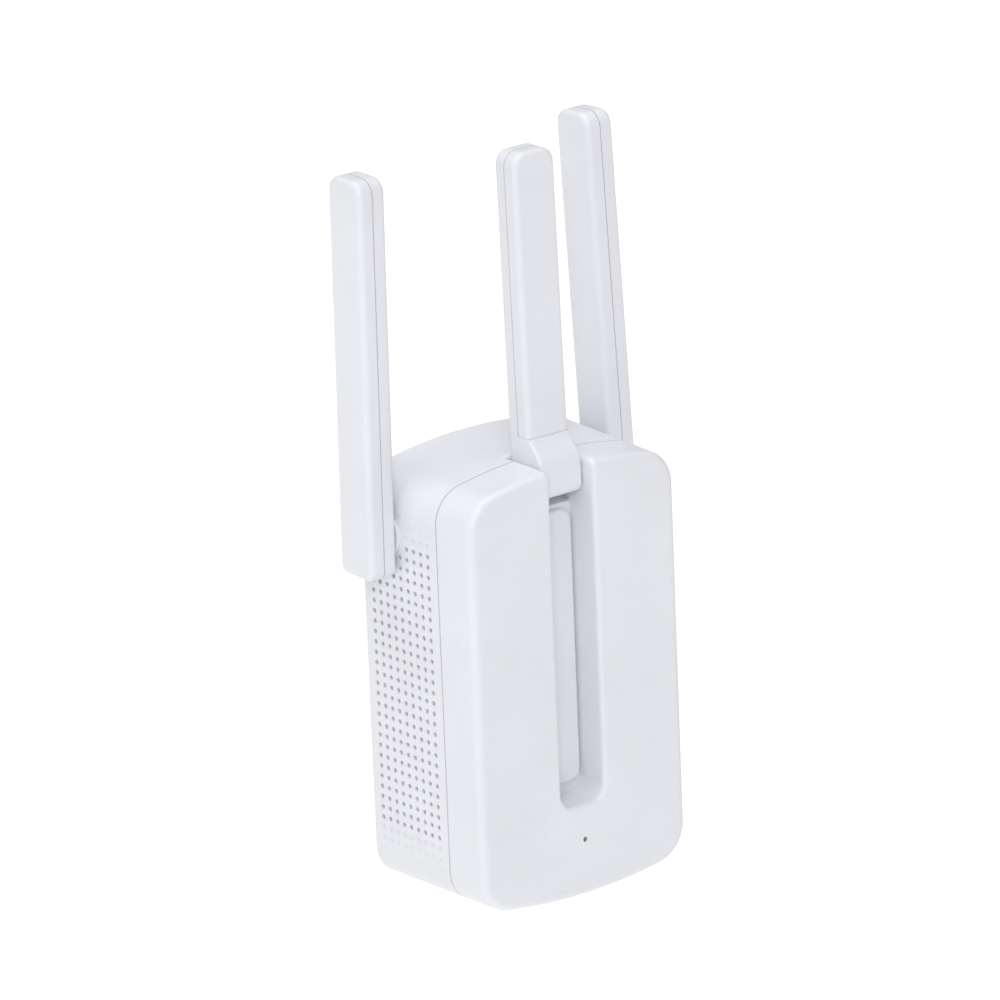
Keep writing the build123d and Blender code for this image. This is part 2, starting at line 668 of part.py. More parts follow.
def feed_tab():
    """The strip that joins the centre aerial's foot to the lead on the hinge line."""
    width, thick = FEED_TAB_WIDTH, FEED_TAB_THICKNESS
    board_face = -CENTRE_SETBACK + RADIATOR_THICKNESS / 2 + SEAT_GAP
    upright = Pos(0, 5.2, board_face + thick / 2) * Box(width, 6.6, thick)
    foot = Pos(0, 1.8, (board_face - 0.8) / 2) * Box(width, thick, -board_face - 0.8)
    drop = Pos(0, 0.6, -0.95) * Box(width, 2.7, thick)
    return upright + foot + drop


def hinge_washer(side):
    """The friction washer between the housing's inner boss and the retaining clip."""
    start = side * (INNER_BOSS_FACE_X - 0.05)
    end = side * (INNER_BOSS_FACE_X - 0.05 - WASHER_THICKNESS)
    low, high = min(start, end), max(start, end)
    ring = rod_x(low, high, SIDE_AXIS_Y, SIDE_AXIS_Z, WASHER_RADIUS)
    hole = SIDE_STUB_RADIUS + HINGE_RUN
    return ring - rod_x(low - 1, high + 1, SIDE_AXIS_Y, SIDE_AXIS_Z, hole)


def centre_hinge_washers():
    """The two thin friction washers beside the knuckle."""
    washers = []
    for side in (-1, 1):
        low = side * CENTRE_WASHER_X - CENTRE_WASHER_THICKNESS / 2
        high = low + CENTRE_WASHER_THICKNESS
        ring = rod_x(low, high, CENTRE_AXIS_Y, CENTRE_AXIS_Z, CENTRE_WASHER_RADIUS)
        hole = CENTRE_STUB_RADIUS + HINGE_RUN
        washers.append(ring - rod_x(low - 1, high + 1, CENTRE_AXIS_Y, CENTRE_AXIS_Z, hole))
    return Compound(washers)


# ---------------------------------------------------------------- button

def wps_button():
    """The button's cap, its flange behind the wall and the stem that presses the switch."""
    wall_x = half_width_at(-BUTTON_Y)
    face_x = wall_x + BUTTON_PROUD
    flange_x = wall_x - WALL - 0.17
    cap = button_prism(flange_x - 0.1, face_x, 0)
    cap = fillet(cap.edges().group_by(Axis.X)[-1], 0.45)
    flange = button_prism(flange_x - 0.9, flange_x, 0.9)
    stem_y = (SWITCH_Y - 1.0, SWITCH_Y + 0.8)
    stem = block(STEM_END_X, flange_x - 0.5, *stem_y, BUTTON_Z - 2, BUTTON_Z + 2)
    return cap + flange + stem


def switch_body():
    """The tact switch on the main board's edge."""
    front = MAIN_BOARD_FRONT_Y - SWITCH_DEPTH
    rear = MAIN_BOARD_FRONT_Y - SEAT_GAP
    start = SWITCH_FACE_X - SWITCH_WIDTH
    body = block(start, SWITCH_FACE_X, front, rear, BUTTON_Z - 3, BUTTON_Z + 3)
    hole = SWITCH_PLUNGER_RADIUS + 0.08
    return body - rod_x(SWITCH_FACE_X - 2, SWITCH_FACE_X + 1, SWITCH_Y, BUTTON_Z, hole)


def switch_plunger():
    """The switch's plunger, which the button's stem pushes in."""
    start = SWITCH_FACE_X - 1.4
    return rod_x(start, STEM_END_X - 0.03, SWITCH_Y, BUTTON_Z, SWITCH_PLUNGER_RADIUS)


# ---------------------------------------------------------------- boards

def main_board():
    """The radio board, notched round the lower housing posts."""
    width = 2 * MAIN_BOARD_HALF_WIDTH
    height = MAIN_BOARD_TOP - MAIN_BOARD_BOTTOM
    middle = (MAIN_BOARD_TOP + MAIN_BOARD_BOTTOM) / 2
    faces = (MAIN_BOARD_FRONT_Y, MAIN_BOARD_REAR_Y)
    board = rounded_plate(width, height, 2.0, *faces, 0, middle)
    notch = block(HOUSING_SCREW_X - 4.3, 30, -30, -20, -60, -HOUSING_SCREW_Z + 4.2)
    board = board - notch - mirrored(notch)
    for x in (-MAIN_POST_X, MAIN_POST_X):
        for z in MAIN_POST_Z:
            board = board - rod_y(x, -30, -20, z, BOARD_SCREW_RADIUS + 0.2)
    return board


def power_board():
    """The mains board that the plug pins are soldered to."""
    width = 2 * POWER_BOARD_HALF_WIDTH
    height = POWER_BOARD_TOP - POWER_BOARD_BOTTOM
    middle = (POWER_BOARD_TOP + POWER_BOARD_BOTTOM) / 2
    faces = (POWER_BOARD_FRONT_Y, POWER_BOARD_REAR_Y)
    board = rounded_plate(width, height, 1.5, *faces, 0, middle)
    for x in (-POWER_POST_X, POWER_POST_X):
        for z in POWER_POST_Z:
            board = board - rod_y(x, -12, -2, z, BOARD_SCREW_RADIUS + 0.2)
    for x in (-PIN_SPACING / 2, PIN_SPACING / 2):
        board = board - rod_y(x, -12, -2, 0, PIN_TAIL_RADIUS + 0.1)
    return board


def bridge_rectifier():
    """The rectifier: a bevelled body on four gull-wing legs."""
    foot = POWER_BOARD_FRONT_Y - SEAT_GAP
    body = block(6.0, 12.5, foot - 2.4, foot - 0.3, 6.0, 11.0)
    body = chamfer(body.edges().filter_by(Axis.Y), 0.3)
    body = chamfer(body.faces().sort_by(Axis.Y)[0].edges(), 0.35)
    for x in (7.6, 10.9):
        leg = block(x - 0.5, x + 0.5, foot - 1.2, foot, 4.9, 5.2)
        leg = leg + block(x - 0.5, x + 0.5, foot - 1.2, foot - 0.9, 4.9, 6.2)
        body = body + leg + mirror(leg, about=Plane.XY.offset(8.5))
    return body


def film_capacitor():
    """The boxed film capacitor, soft-edged and raised on two feet."""
    foot = POWER_BOARD_FRONT_Y - SEAT_GAP
    body = block(-4.5, 2.5, foot - 8.0, foot - 0.5, 4.5, 13.5)
    body = fillet(body.edges(), 0.5)
    for z in (5.6, 12.4):
        body = body + block(-3.5, 1.5, foot - 0.8, foot, z - 0.4, z + 0.4)
    return body


def transformer():
    """The ferrite core and the wound coil in its windows."""
    front = POWER_BOARD_FRONT_Y - TRANSFORMER_HEIGHT
    base = POWER_BOARD_FRONT_Y - 0.6
    low = TRANSFORMER_Z - CORE_HALF_LENGTH
    high = TRANSFORMER_Z + CORE_HALF_LENGTH
    width = CORE_HALF_WIDTH
    window_width = width - 2.2
    leg_width = CORE_LEG_HALF_WIDTH
    coil_low = TRANSFORMER_Z - COIL_HALF_LENGTH
    coil_high = TRANSFORMER_Z + COIL_HALF_LENGTH
    core = block(-width, width, front, base, low, high)
    core = core - block(-window_width, window_width, front + 2, base - 2, low - 1, high + 1)
    core = core + block(-leg_width, leg_width, front + 1, base - 1, low, high)
    coil_width = window_width - 0.3
    coil = block(-coil_width, coil_width, front + 2.3, base - 2.3, coil_low, coil_high)
    coil = fillet(coil.edges().filter_by(Axis.Z), 1.6)
    hole_width = leg_width + 0.3
    coil = coil - block(-hole_width, hole_width, front, base, low - 0.3, high + 0.3)
    return core, coil


def upright_cans(places, radius, height):
    """Identical capacitors standing on the power board."""
    foot = POWER_BOARD_FRONT_Y - SEAT_GAP
    cans = []
    for x, z in places:
        can = rod_y(x, foot - height, foot, z, radius)
        cans.append(fillet(can.edges().filter_by(GeomType.CIRCLE), 0.5))
    return Compound(cans)


def fuse_resistor():
    """The fusible resistor, lying on the power board."""
    middle = POWER_BOARD_FRONT_Y - SEAT_GAP - FUSE_RADIUS - 0.1
    body = Pos(-12.5, middle, 8) * Cylinder(FUSE_RADIUS, FUSE_LENGTH)
    return fillet(body.edges().filter_by(GeomType.CIRCLE), 0.6)


def rf_shield():
    """The folded metal can over the radio."""
    face = MAIN_BOARD_REAR_Y + SEAT_GAP
    back = face + SHIELD_DEPTH
    can = rounded_plate(SHIELD_WIDTH, SHIELD_HEIGHT, 1.2, face, back, 0, RADIO_Z)
    width = SHIELD_WIDTH - 2 * SHIELD_SHEET
    height = SHIELD_HEIGHT - 2 * SHIELD_SHEET
    return can - rounded_plate(width, height, 0.9, face - 1, back - SHIELD_SHEET, 0, RADIO_Z)


def heat_spreader():
    """The grooved aluminium plate behind the shield."""
    face = MAIN_BOARD_REAR_Y + SHIELD_DEPTH + 0.12
    back = face + SPREADER_DEPTH
    plate = rounded_plate(SPREADER_WIDTH, SPREADER_HEIGHT, 1.5, face, back, 0, RADIO_Z)
    low = RADIO_Z - SHIELD_HEIGHT / 2
    high = RADIO_Z + SHIELD_HEIGHT / 2
    for step in range(SPREADER_GROOVES):
        x = (step - (SPREADER_GROOVES - 1) / 2) * SPREADER_PITCH
        plate = plate - block(x - 0.5, x + 0.5, back - 0.8, back + 1, low, high)
    return plate


def radio_chip():
    """The radio chip on the back of the main board, with a corner mark."""
    face = MAIN_BOARD_REAR_Y + SEAT_GAP
    chip = rounded_plate(9.0, 9.0, 0.3, face, face + 1.0, 0, RADIO_Z + 0.5)
    chip = chamfer(chip.faces().sort_by(Axis.Y)[-1].edges(), 0.15)
    return chip - rod_y(-3.4, face + 0.9, face + 2, RADIO_Z + 3.9, 0.5)


def insulation_sheet():
    """The thin sheet that keeps the mains side off the radio side."""
    y = MAIN_BOARD_REAR_Y + SHEET_DEPTH
    sheet = rounded_plate(46, 68, 3, y, y + SHEET_THICKNESS, 0, -6)
    return sheet - block(LINK_X[0] - 0.5, LINK_X[1] + 0.5, -30, 0, -36, -30)


def board_link():
    """The stacking connector between the two boards."""
    front = MAIN_BOARD_REAR_Y + SEAT_GAP
    back = POWER_BOARD_FRONT_Y - SEAT_GAP
    body = block(*LINK_X, front, back, *LINK_Z)
    return body - block(LINK_X[0] + 1, LINK_X[1] - 1, -18.2, -17.8, -36, -30)


def status_led():
    """The status light on the main board, behind the light pipe."""
    seat = MAIN_BOARD_FRONT_Y - SEAT_GAP
    base = block(-1.5, 1.5, seat - 0.68, seat, LED_Z - 1, LED_Z + 1)
    return base + rod_y(0, seat - 1.48, seat - 0.58, LED_Z, 0.8)


def light_pipe():
    """The clear pipe that carries the light to the hole in the front face."""
    shoulder = -DEPTH + WALL + 0.05
    pipe = rod_y(0, shoulder, MAIN_BOARD_FRONT_Y - 1.8, LED_Z, PIPE_RADIUS)
    return pipe + rod_y(0, -DEPTH + 0.35, shoulder + 0.1, LED_Z, LED_HOLE_RADIUS - 0.05)


# ---------------------------------------------------------------- leads

def coax_socket(x, y, z, board_side):
    """One snap-on plug in its socket, its neck pointing up."""
    base = Pos(x, y, z) * Box(SOCKET_SIZE, SOCKET_DEPTH, SOCKET_SIZE)
    out = y + board_side * (SOCKET_DEPTH / 2 + 0.12)
    cap = rod_y(x, min(y, out), max(y, out), z, 1.0)
    neck = Pos(x, y, z + SOCKET_NECK_TOP - 0.6) * Cylinder(0.75, 1.2)
    return base + cap + neck


def coax_sockets():
    """The three tiny snap-on plugs and sockets on the main board."""
    x, y, z = SIDE_SOCKET
    return Compound([
        coax_socket(-x, y, z, 1),
        coax_socket(x, y, z, 1),
        coax_socket(*CENTRE_SOCKET, -1),
    ])


def lead(points):
    """A lead of straight runs joined by arcs as large as the runs allow."""
    corners = [Vector(*point) for point in points]
    radii = []
    for before, at, after in zip(corners, corners[1:], corners[2:]):
        shorter = min((at - before).length, (after - at).length)
        turn = math.radians((at - before).get_angle(after - at))
        radii.append(0.45 * shorter / math.tan(turn / 2))
    path = FilletPolyline(*corners, radius=radii)
    section = Plane(origin=path @ 0, z_dir=path % 0) * Circle(COAX_RADIUS)
    tube = sweep(section, path=path)
    expected = math.pi * COAX_RADIUS**2 * path.length
    print("lead", round(path.length, 1), "mm, radii", [round(r, 1) for r in radii])
    print("  volume over section times length", round(tube.volume / expected, 4))
    return tube


def side_lead(side):
    """The lead from a side antenna, in along its hinge line and down to the main board."""
    x, y, z = SIDE_SOCKET
    points = [
        (SIDE_AXIS_X - 0.5, SIDE_AXIS_Y, SIDE_AXIS_Z),
        (22.0, SIDE_AXIS_Y, SIDE_AXIS_Z),
        (15.6, -13.6, 38.2),
        (13.6, -19.6, 40.6),
        (13.8, -24.6, 38.4),
        (x, y, z + LEAD_END),
    ]
    return lead([(side * px, py, pz) for px, py, pz in points])


def centre_lead():
    """The lead from the centre antenna, out through its right stub and down to the board."""
    x, y, z = CENTRE_SOCKET
    points = [
        (0.6, CENTRE_AXIS_Y, CENTRE_AXIS_Z),
        (15.0, CENTRE_AXIS_Y, CENTRE_AXIS_Z),
        (19.0, CENTRE_AXIS_Y, 43.0),
        (17.6, -30.4, 35.4),
        (14.6, -28.8, 31.0),
        (x, y, z + LEAD_END),
    ]
    return lead(points)


# ---------------------------------------------------------------- screws

def pan_screw(x, z, seat, length, head_radius, head_height, shank_radius):
    """A cross-head screw along Y, its head towards the wall."""
    head = rod_y(x, seat, seat + head_height, z, head_radius)
    head = fillet(head.edges().group_by(Axis.Y)[-1], head_height * 0.4)
    shank = rod_y(x, seat - length, seat + 0.1, z, shank_radius)
    tip = shank.edges().group_by(Axis.Y)[0]
    screw = head + chamfer(tip, shank_radius * 0.4)
    low = seat + head_height - 0.7
    for wide, tall in ((head_radius, 0.5), (0.5, head_radius)):
        half, rise = wide / 2, tall / 2
        screw = screw - block(x - half, x + half, low, low + 2, z - rise, z + rise)
    return screw


def screw_group(xs, zs, *sizes):
    """Four identical screws at the corners of a rectangle."""
    screws = []
    for x in (-xs, xs):
        for z in zs:
            screws.append(pan_screw(x, z, *sizes))
    return Compound(screws)


def housing_screws():
    """The long screws in the deep holes of the rear face."""
    zs = (-HOUSING_SCREW_Z, HOUSING_SCREW_Z)
    head = (SCREW_HEAD_RADIUS, SCREW_HEAD_HEIGHT)
    return screw_group(HOUSING_SCREW_X, zs, SCREW_SEAT_Y, SCREW_LENGTH, *head, SCREW_SHANK_RADIUS)


def main_board_screws():
    """The short screws that hold the main board to the front cover."""
    seat = MAIN_BOARD_REAR_Y + SEAT_GAP
    head = (BOARD_SCREW_HEAD_RADIUS, BOARD_SCREW_HEAD_HEIGHT)
    return screw_group(MAIN_POST_X, MAIN_POST_Z, seat, 6.0, *head, BOARD_SCREW_RADIUS)


def power_board_screws():
    """Four screws that hold the power board, their heads towards the room."""
    seat = POWER_BOARD_FRONT_Y - SEAT_GAP
    screws = []
    for x in (-POWER_POST_X, POWER_POST_X):
        for z in POWER_POST_Z:
            head = rod_y(x, seat - BOARD_SCREW_HEAD_HEIGHT, seat, z, BOARD_SCREW_HEAD_RADIUS)
            head = fillet(head.edges().group_by(Axis.Y)[0], 0.5)
            screws.append(head + rod_y(x, seat - 0.1, seat + 5.0, z, BOARD_SCREW_RADIUS))
    return Compound(screws)


# ---------------------------------------------------------------- assembly

def fixed_pieces():
    """The housing, the plug, the boards and all they carry, by name."""
    shell = housing_shell()
    core, coil = transformer()
    return {
        "front_cover": front_cover(shell),
        "rear_housing": rear_housing(shell),
        "plug_insert": plug_insert(),
        "plug_pins": plug_pins(),
        "main_board": main_board(),
        "power_board": power_board(),
        "transformer_core": core,
        "transformer_coil": coil,
        "bulk_capacitors": upright_cans(BULK_CAN_PLACES, BULK_CAN_RADIUS, BULK_CAN_HEIGHT),
        "output_capacitors": upright_cans(OUTPUT_CAN_PLACES, OUTPUT_CAN_RADIUS, OUTPUT_CAN_HEIGHT),
        "fuse_resistor": fuse_resistor(),
        "bridge_rectifier": bridge_rectifier(),
        "film_capacitor": film_capacitor(),
        "radio_chip": radio_chip(),
        "rf_shield": rf_shield(),
        "heat_spreader": heat_spreader(),
        "insulation_sheet": insulation_sheet(),
        "board_link": board_link(),
        "status_led": status_led(),
        "light_pipe": light_pipe(),
        "coax_sockets": coax_sockets(),
        "switch_body": switch_body(),
        "left_hinge_washer": hinge_washer(-1),
        "right_hinge_washer": hinge_washer(1),
        "centre_hinge_washers": centre_hinge_washers(),
        "left_coax": side_lead(-1),
        "right_coax": side_lead(1),
        "centre_coax": centre_lead(),
        "housing_screws": housing_screws(),
        "main_board_screws": main_board_screws(),
        "power_board_screws": power_board_screws(),
    }


def moving_pieces():
    """The button and the three antennas, by name."""
    nodes = {
        "wps_button": wps_button(),
        "switch_plunger": switch_plunger(),
    }
    for name, side, lean in (("left", -1, LEFT_LEAN), ("right", 1, RIGHT_LEAN)):
        outer, inner, radiator, clip = side_antenna(side, lean)
        nodes[name + "_antenna_outer_shell"] = outer
        nodes[name + "_antenna_inner_shell"] = inner
        nodes[name + "_antenna_radiator"] = radiator
        nodes[name + "_hinge_clip"] = clip
    front, rear, radiator, tab = centre_antenna()
    nodes["centre_antenna_front_shell"] = front
    nodes["centre_antenna_rear_shell"] = rear
    nodes["centre_antenna_radiator"] = radiator
    nodes["centre_antenna_feed_tab"] = tab
    return nodes


def main():
    os.makedirs("parts", exist_ok=True)
    for nodes in (fixed_pieces(), moving_pieces()):
        for name, shape in nodes.items():
            export_step(shape, "parts/" + name + ".step")


main()
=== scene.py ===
import json
import math
import random

import bmesh
import bpy
from mathutils import Matrix, Vector


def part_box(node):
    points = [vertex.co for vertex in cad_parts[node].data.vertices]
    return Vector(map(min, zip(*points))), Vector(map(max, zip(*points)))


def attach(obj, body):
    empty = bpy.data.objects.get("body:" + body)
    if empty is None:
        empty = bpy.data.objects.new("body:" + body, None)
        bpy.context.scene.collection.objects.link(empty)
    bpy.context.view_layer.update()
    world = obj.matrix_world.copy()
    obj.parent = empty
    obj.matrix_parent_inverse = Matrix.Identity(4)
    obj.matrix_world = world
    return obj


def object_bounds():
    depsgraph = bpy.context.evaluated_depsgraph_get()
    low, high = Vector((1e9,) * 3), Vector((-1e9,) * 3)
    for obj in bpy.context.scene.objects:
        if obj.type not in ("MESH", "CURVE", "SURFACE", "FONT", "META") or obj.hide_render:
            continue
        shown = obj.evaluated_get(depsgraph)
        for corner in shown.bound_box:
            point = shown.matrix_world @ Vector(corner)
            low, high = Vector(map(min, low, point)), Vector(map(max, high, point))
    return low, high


# A plug-in wifi range extender in a plain studio, seen from the front left and a little above.
# Metres, +X right, +Y into the wall, +Z up.

# Studio
WORLD_STRENGTH = 0.30
FLOOR_DROP = 0.35
FLOOR_HALF = 6.0
FLOOR_GLOW = 0.08
# Each sun: the direction it stands in, its strength, and its softness in degrees
SUNS = {
    "key": ((-0.50, -0.69, 0.50), 1.00, 24.0),
    "side": ((-0.95, 0.05, 0.30), 0.34, 50.0),
    "overhead": ((-0.05, 0.05, 1.0), 1.72, 60.0),
}

# Camera
CAMERA_PLACE = (-1.2995, -1.7067, 0.7520)
CAMERA_AZIMUTH = -37.50
CAMERA_ELEVATION = 18.48
CAMERA_ROLL = 2.30
SENSOR_MM = 36.0
FOCAL_MM = 342.4
NEAREST = 0.05
FARTHEST = 50.0

# Housing white
SHELL = (0.80, 0.807, 0.848)

# How far the shading softens an edge
MOULDED_EDGE = 0.00018 * 2.2
METAL_EDGE = 0.0002

# Small parts on the front of the main board. Sizes are across, up, and out from the board.
CHIP_SIZE = (0.0016, 0.0008, 0.0006)
CHIP_END = 0.00032
CHIP_SHIFT = (0.0005, 0.0003)
CHIPS_LYING = 0.6
CHIP_SEED = 11
CHIP_COLUMNS = (-0.0150, -0.0112, -0.0074, -0.0036, 0.0002, 0.0040, 0.0078, 0.0116)
CHIP_ROWS = (-0.0240, -0.0206, -0.0172, -0.0138, -0.0104, 0.0104, 0.0138, 0.0172)
MEMORY_PLACE = (-0.0070, 0.0)
MEMORY_SIZE = (0.0050, 0.0039, 0.0012)
MEMORY_LIFT = 0.00012
LEG_PITCH = 0.00127
LEG_WIDTH = 0.0004
CRYSTAL_PLACE = (0.0070, 0.0)
CRYSTAL_BASE = (0.0050, 0.0032)
CRYSTAL_LID = (0.0045, 0.0027)
SOLDER_GAP = 0.00002

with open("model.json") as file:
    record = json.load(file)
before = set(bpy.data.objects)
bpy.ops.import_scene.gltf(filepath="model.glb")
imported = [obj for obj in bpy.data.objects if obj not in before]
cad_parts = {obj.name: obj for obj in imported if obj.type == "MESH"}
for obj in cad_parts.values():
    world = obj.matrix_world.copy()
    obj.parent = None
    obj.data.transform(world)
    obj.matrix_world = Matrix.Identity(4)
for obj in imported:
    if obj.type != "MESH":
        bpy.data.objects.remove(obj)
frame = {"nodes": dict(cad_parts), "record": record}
record = frame["record"]
start_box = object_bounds()


# ---------------------------------------------------------------- shader helpers

class Shader:
    """Short calls for laying out one material's nodes."""

    def __init__(self, material):
        material.use_nodes = True
        self.tree = material.node_tree
        self.tree.nodes.clear()
        self.column = 0

    def add(self, kind, **settings):
        node = self.tree.nodes.new(kind)
        node.location = (self.column * 180, 0)
        self.column += 1
        for name, value in settings.items():
            setattr(node, name, value)
        return node

    def link(self, source, target):
        self.tree.links.new(source, target)

    def place(self, scale=(1, 1, 1)):
        """The point on the object, in metres times scale."""
        coords = self.add("ShaderNodeTexCoord")
        mapping = self.add("ShaderNodeMapping")
        mapping.inputs["Scale"].default_value = scale
        self.link(coords.outputs["Object"], mapping.inputs["Vector"])
        return mapping.outputs["Vector"]

    def noise(self, where, scale, detail=2.0, rough=0.5):
        node = self.add("ShaderNodeTexNoise")
        node.inputs["Scale"].default_value = scale
        node.inputs["Detail"].default_value = detail
        node.inputs["Roughness"].default_value = rough
        self.link(where, node.inputs["Vector"])
        return node.outputs["Fac"]

    def span(self, value, low, high, to_low, to_high):
        """Maps low..high onto to_low..to_high."""
        node = self.add("ShaderNodeMapRange")
        settings = (low, high, to_low, to_high)
        for name, number in zip(("From Min", "From Max", "To Min", "To Max"), settings):
            node.inputs[name].default_value = number
        self.link(value, node.inputs["Value"])
        return node.outputs["Result"]

    def maths(self, operation, first, second):
        node = self.add("ShaderNodeMath", operation=operation)
        for socket, value in zip(node.inputs, (first, second)):
            if isinstance(value, (int, float)):
                socket.default_value = value
            else:
                self.link(value, socket)
        return node.outputs["Value"]

    def mix(self, factor, first, second):
        """Mixes two colours."""
        node = self.add("ShaderNodeMix", data_type="RGBA")
        if isinstance(factor, (int, float)):
            node.inputs[0].default_value = factor
        else:
            self.link(factor, node.inputs[0])
        for socket, value in ((node.inputs[6], first), (node.inputs[7], second)):
            if isinstance(value, tuple):
                socket.default_value = (*value, 1.0)
            else:
                self.link(value, socket)
        return node.outputs[2]

    def edges(self, radius):
        """0 on flat faces, rising to 1 on edges sharper than radius."""
        bevel = self.add("ShaderNodeBevel", samples=4)
        bevel.inputs["Radius"].default_value = radius
        geometry = self.add("ShaderNodeNewGeometry")
        dot = self.add("ShaderNodeVectorMath", operation="DOT_PRODUCT")
        self.link(bevel.outputs["Normal"], dot.inputs[0])
        self.link(geometry.outputs["Normal"], dot.inputs[1])
        return self.span(dot.outputs["Value"], 0.995, 0.90, 0.0, 1.0), bevel.outputs["Normal"]

    def bump(self, height, distance, strength, normal=None):
        node = self.add("ShaderNodeBump")
        node.inputs["Distance"].default_value = distance
        node.inputs["Strength"].default_value = strength
        self.link(height, node.inputs["Height"])
        if normal is not None:
            self.link(normal, node.inputs["Normal"])
        return node.outputs["Normal"]

    def finish(self, colour, roughness, normal, **constants):
        """Ends in a principled surface; constants go on its own sockets."""
        surface = self.add("ShaderNodeBsdfPrincipled")
        output = self.add("ShaderNodeOutputMaterial")
        self.link(colour, surface.inputs["Base Color"])
        self.link(roughness, surface.inputs["Roughness"])
        self.link(normal, surface.inputs["Normal"])
        for name, value in constants.items():
            surface.inputs[name.replace("_", " ")].default_value = value
        self.link(surface.outputs["BSDF"], output.inputs["Surface"])


def shade(colour, factor):
    return tuple(min(1.0, channel * factor) for channel in colour)


def moulded(material, colour, rough, grain=0.00004, tone=0.02, edge_highlight=0.04, **constants):
    """Moulded plastic: fine spark-eroded grain, soft flow mottling, and a painted highlight on sharp
    edges.
    """
    s = Shader(material)
    where = s.place()
    cloud = s.noise(where, 38.0, 4.0, 0.6)
    fine = s.noise(where, 5200.0, 2.0, 0.55)
    flow = s.noise(s.place((1, 1, 0.35)), 160.0, 3.0, 0.5)
    edge, soft_normal = s.edges(MOULDED_EDGE)
    low, high = shade(colour, 1 - tone), shade(colour, 1 + tone)
    base = s.mix(s.span(cloud, 0.35, 0.65, 0.0, 1.0), low, high)
    # Painted highlight: sharp edges are mixed towards a lighter copy of the colour
    highlit = s.mix(s.maths("MULTIPLY", edge, edge_highlight), base, shade(colour, 1.25))
    gloss = s.span(flow, 0.3, 0.7, rough - 0.05, rough + 0.05)
    gloss = s.maths("SUBTRACT", gloss, s.maths("MULTIPLY", edge, 0.05))
    gloss = s.maths("ADD", gloss, s.span(fine, 0.3, 0.7, -0.02, 0.02))
    normal = s.bump(fine, grain, 0.35, soft_normal)
    s.finish(highlit, gloss, normal, **constants)


def metal(material, colour, rough, grain=(1, 1, 1), scratch=900.0, **constants):
    """Metal with drawn or turned scratches, smudges and brighter edges."""
    s = Shader(material)
    drawn = s.noise(s.place(grain), scratch, 4.0, 0.7)
    smudge = s.noise(s.place(), 120.0, 3.0, 0.6)
    edge, soft_normal = s.edges(METAL_EDGE)
    base = s.mix(s.span(smudge, 0.3, 0.7, 0.0, 1.0), shade(colour, 0.86), shade(colour, 1.06))
    base = s.mix(s.maths("MULTIPLY", edge, 0.5), base, shade(colour, 1.3))
    gloss = s.maths("ADD", s.span(drawn, 0.3, 0.7, rough - 0.07, rough + 0.08),
                    s.span(smudge, 0.3, 0.7, -0.04, 0.06))
    s.finish(base, gloss, s.bump(drawn, 0.00003, 0.3, soft_normal), Metallic=1.0, **constants)


def circuit_board(material, mask, copper):
    """A green board: tracks under the solder mask, plated pads and a faint glass weave."""
    s = Shader(material)
    where = s.place()
    tracks = s.add("ShaderNodeTexBrick", offset=0.37, squash=0.6)
    tracks.inputs["Scale"].default_value = 340.0
    tracks.inputs["Mortar Size"].default_value = 0.028
    tracks.inputs["Mortar Smooth"].default_value = 0.1
    turned = s.add("ShaderNodeMapping")
    turned.inputs["Rotation"].default_value = (math.radians(90), 0, 0)
    s.link(where, turned.inputs["Vector"])
    s.link(turned.outputs["Vector"], tracks.inputs["Vector"])
    pads = s.add("ShaderNodeTexVoronoi", feature="F1", distance="CHEBYCHEV")
    pads.inputs["Scale"].default_value = 420.0
    s.link(turned.outputs["Vector"], pads.inputs["Vector"])
    pad_mask = s.span(pads.outputs["Distance"], 0.16, 0.13, 0.0, 1.0)
    cloud = s.noise(where, 60.0, 3.0, 0.6)
    weave = s.noise(s.place((1, 1, 6)), 2600.0, 1.0, 0.5)
    base = s.mix(s.span(cloud, 0.35, 0.65, 0.0, 1.0), shade(mask, 0.8), shade(mask, 1.15))
    base = s.mix(s.maths("MULTIPLY", tracks.outputs["Fac"], 0.7), base, shade(mask, 1.9))
    base = s.mix(s.maths("MULTIPLY", pad_mask, 0.85), base, copper)
    gloss = s.span(weave, 0.3, 0.7, 0.28, 0.42)
    height = s.maths("ADD", tracks.outputs["Fac"], s.maths("MULTIPLY", weave, 0.3))
    s.finish(base, gloss, s.bump(height, 0.00004, 0.5), Specular_IOR_Level=0.6)


def wound_tape(material, colour):
    """Layers of wound tape over a coil, with turns of wire showing through."""
    s = Shader(material)
    turns = s.add("ShaderNodeTexWave", bands_direction="Z", wave_profile="SIN")
    turns.inputs["Scale"].default_value = 420.0
    turns.inputs["Distortion"].default_value = 0.4
    s.link(s.place(), turns.inputs["Vector"])
    cloud = s.noise(s.place(), 260.0, 3.0, 0.6)
    base = s.mix(s.span(turns.outputs["Fac"], 0.2, 0.8, 0.0, 0.6), colour, shade(colour, 0.72))
    base = s.mix(s.span(cloud, 0.4, 0.7, 0.0, 0.35), base, shade(colour, 1.3))
    gloss = s.span(cloud, 0.3, 0.7, 0.22, 0.38)
    s.finish(base, gloss, s.bump(turns.outputs["Fac"], 0.00006, 0.5), Coat_Weight=0.2)


def clear_plastic(material, colour):
    """Clear moulded plastic with faint flow lines."""
    s = Shader(material)
    flow = s.noise(s.place((1, 0.3, 1)), 900.0, 3.0, 0.6)
    base = s.mix(s.span(flow, 0.3, 0.7, 0.0, 1.0), shade(colour, 0.94), colour)
    gloss = s.span(flow, 0.3, 0.7, 0.06, 0.16)
    s.finish(base, gloss, s.bump(flow, 0.00002, 0.3), IOR=1.49, Transmission_Weight=0.85)


# ---------------------------------------------------------------- materials by slot

